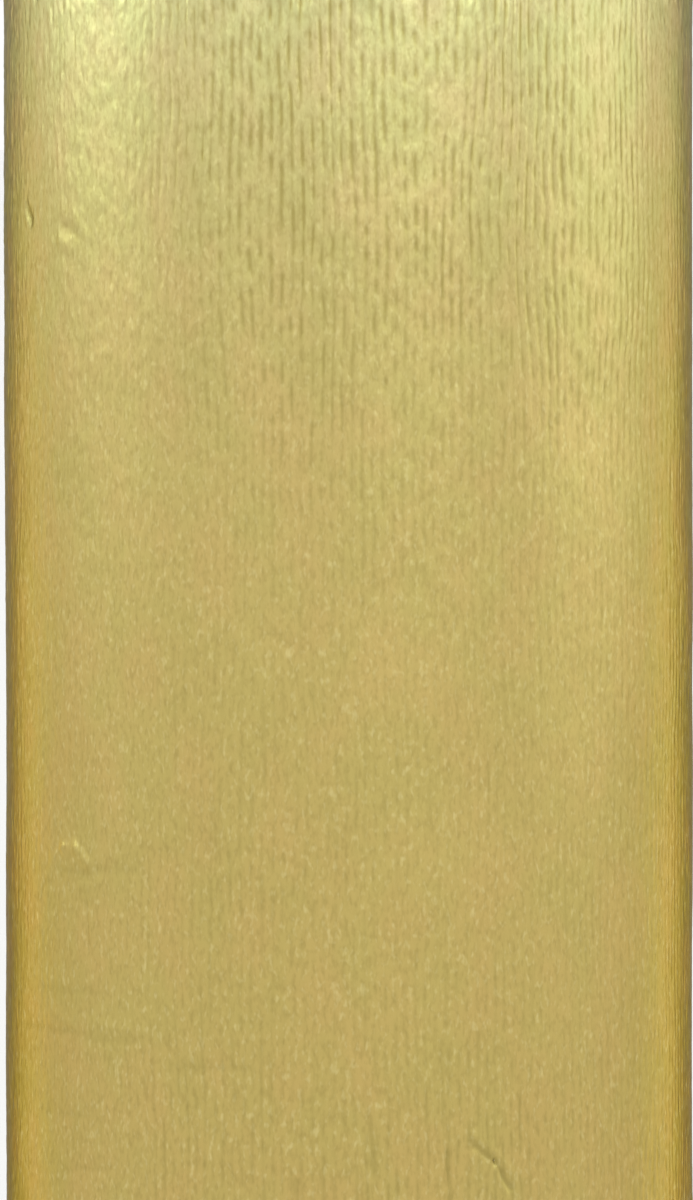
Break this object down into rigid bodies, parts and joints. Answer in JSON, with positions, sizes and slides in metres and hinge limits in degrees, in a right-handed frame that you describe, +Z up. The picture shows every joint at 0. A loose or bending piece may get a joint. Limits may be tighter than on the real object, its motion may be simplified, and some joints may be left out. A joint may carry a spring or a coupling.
{
  "type": "wrapping paper roll",
  "caption": "Crepe gift-wrapping paper in metallic gold, wound on a hollow cardboard tube, with a free end that lifts and uncurls from the roll.",
  "frame": {"origin": "on the axis of the tube, in the plane of the end that the roll stands on", "axes": "+Z up along the tube's axis; -Y is the side seen from the front; +X to the right"},
  "size_m": [0.0606, 0.0612, 0.5],
  "materials": {
    "gold_crepe": "satin",
    "paper_back": "matte",
    "cardboard": "matte",
    "adhesive_tape": "matte",
    "clear_tape": "gloss"
  },
  "bodies": {
    "roll": {"core_inner_ply": "cardboard", "core_middle_ply": "cardboard", "core_outer_ply": "cardboard", "start_tape": "adhesive_tape", "paper_winding": "gold_crepe"},
    "free_end_1": {"free_end_1": "gold_crepe"},
    "free_end_2": {"free_end_2": "gold_crepe"},
    "free_end_3": {"free_end_3": "gold_crepe"},
    "free_end_4": {"free_end_4": "gold_crepe"},
    "free_end_5": {"free_end_5": "gold_crepe"},
    "free_end_6": {"free_end_6": "gold_crepe"},
    "free_end_7": {"free_end_7": "gold_crepe"},
    "free_end_8": {"free_end_8": "gold_crepe", "closing_tapes": "clear_tape"}
  },
  "joints": [
    {"name": "free_end_lift", "type": "hinge", "parent": "roll", "child": "free_end_1", "pos_m": [0.03029, -0.00188, 0.25], "axis": [0, 0, -1], "range_deg": [0, 18], "stiffness_Nm_per_rad": 0.002},
    {"name": "free_end_fold_2", "type": "hinge", "parent": "free_end_1", "child": "free_end_2", "pos_m": [0.02945, 0.00768, 0.25], "axis": [0, 0, -1], "range_deg": [0, 18], "stiffness_Nm_per_rad": 0.002},
    {"name": "free_end_fold_3", "type": "hinge", "parent": "free_end_2", "child": "free_end_3", "pos_m": [0.0257, 0.01651, 0.25], "axis": [0, 0, -1], "range_deg": [0, 18], "stiffness_Nm_per_rad": 0.002},
    {"name": "free_end_fold_4", "type": "hinge", "parent": "free_end_3", "child": "free_end_4", "pos_m": [0.01941, 0.02375, 0.25], "axis": [0, 0, -1], "range_deg": [0, 18], "stiffness_Nm_per_rad": 0.002},
    {"name": "free_end_fold_5", "type": "hinge", "parent": "free_end_4", "child": "free_end_5", "pos_m": [0.01118, 0.02869, 0.25], "axis": [0, 0, -1], "range_deg": [0, 18], "stiffness_Nm_per_rad": 0.002},
    {"name": "free_end_fold_6", "type": "hinge", "parent": "free_end_5", "child": "free_end_6", "pos_m": [0.00183, 0.03085, 0.25], "axis": [0, 0, -1], "range_deg": [0, 18], "stiffness_Nm_per_rad": 0.002},
    {"name": "free_end_fold_7", "type": "hinge", "parent": "free_end_6", "child": "free_end_7", "pos_m": [-0.00773, 0.03002, 0.25], "axis": [0, 0, -1], "range_deg": [0, 18], "stiffness_Nm_per_rad": 0.002},
    {"name": "free_end_fold_8", "type": "hinge", "parent": "free_end_7", "child": "free_end_8", "pos_m": [-0.01656, 0.02627, 0.25], "axis": [0, 0, -1], "range_deg": [0, 18], "stiffness_Nm_per_rad": 0.002}
  ],
  "couplings": [
    {"joint": "free_end_fold_2", "follows": "free_end_lift", "ratio": 1},
    {"joint": "free_end_fold_3", "follows": "free_end_lift", "ratio": 1},
    {"joint": "free_end_fold_4", "follows": "free_end_lift", "ratio": 1},
    {"joint": "free_end_fold_5", "follows": "free_end_lift", "ratio": 1},
    {"joint": "free_end_fold_6", "follows": "free_end_lift", "ratio": 1},
    {"joint": "free_end_fold_7", "follows": "free_end_lift", "ratio": 1},
    {"joint": "free_end_fold_8", "follows": "free_end_lift", "ratio": 1}
  ]
}
